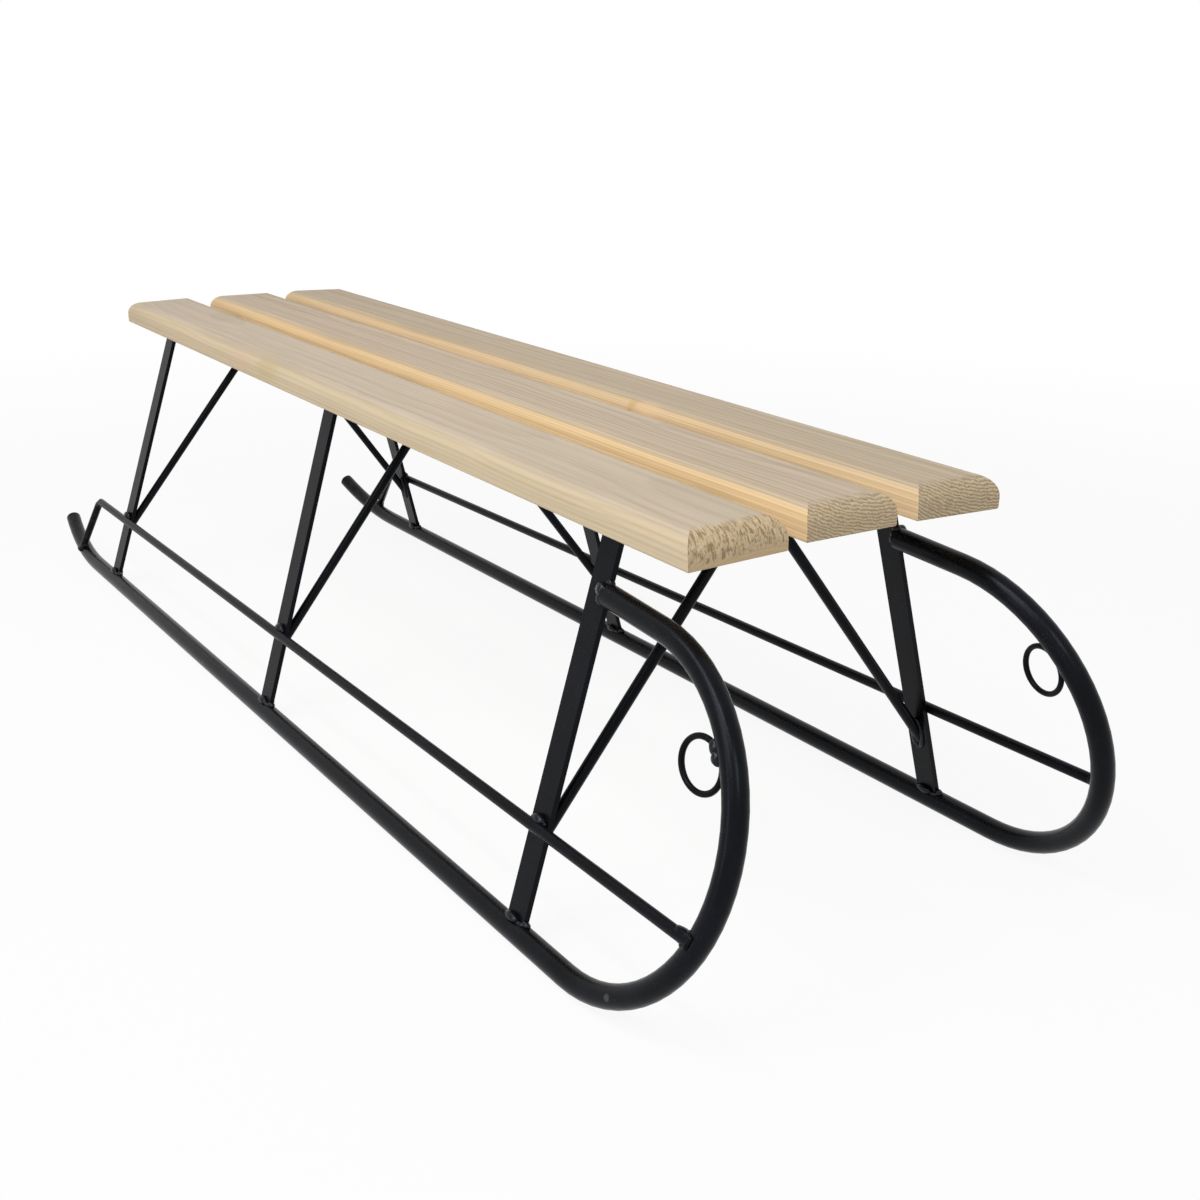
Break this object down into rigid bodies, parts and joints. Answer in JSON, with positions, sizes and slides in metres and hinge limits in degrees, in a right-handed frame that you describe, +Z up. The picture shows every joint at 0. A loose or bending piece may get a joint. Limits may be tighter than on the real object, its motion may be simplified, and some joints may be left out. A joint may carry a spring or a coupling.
{
  "type": "two-seat sled",
  "caption": "Long sled with tube runners curled up in front, splayed flat-bar legs, thin braces and rails, tow rings and a slatted wooden seat for riders sitting one behind the other.",
  "frame": {"origin": "on the floor, midway along the sled and midway between the runners", "axes": "+X forward towards the curls, +Y to the sled's left, +Z up"},
  "size_m": [1.5887, 0.4935, 0.3863],
  "materials": {
    "black_paint": "satin black paint over welded steel",
    "pine": "planed pine, thin clear coat"
  },
  "bodies": {
    "root": {"runner_left": "black_paint", "runner_right": "black_paint", "bow_rear": "black_paint", "bow_middle": "black_paint", "bow_front": "black_paint", "side_rail_left": "black_paint", "side_rail_right": "black_paint", "brace_rear_left": "black_paint", "brace_rear_right": "black_paint", "brace_middle_left": "black_paint", "brace_middle_right": "black_paint", "brace_front_left": "black_paint", "brace_front_right": "black_paint", "tow_ring_left": "black_paint", "tow_ring_right": "black_paint", "slat_left": "pine", "slat_middle": "pine", "slat_right": "pine"}
  },
  "joints": []
}
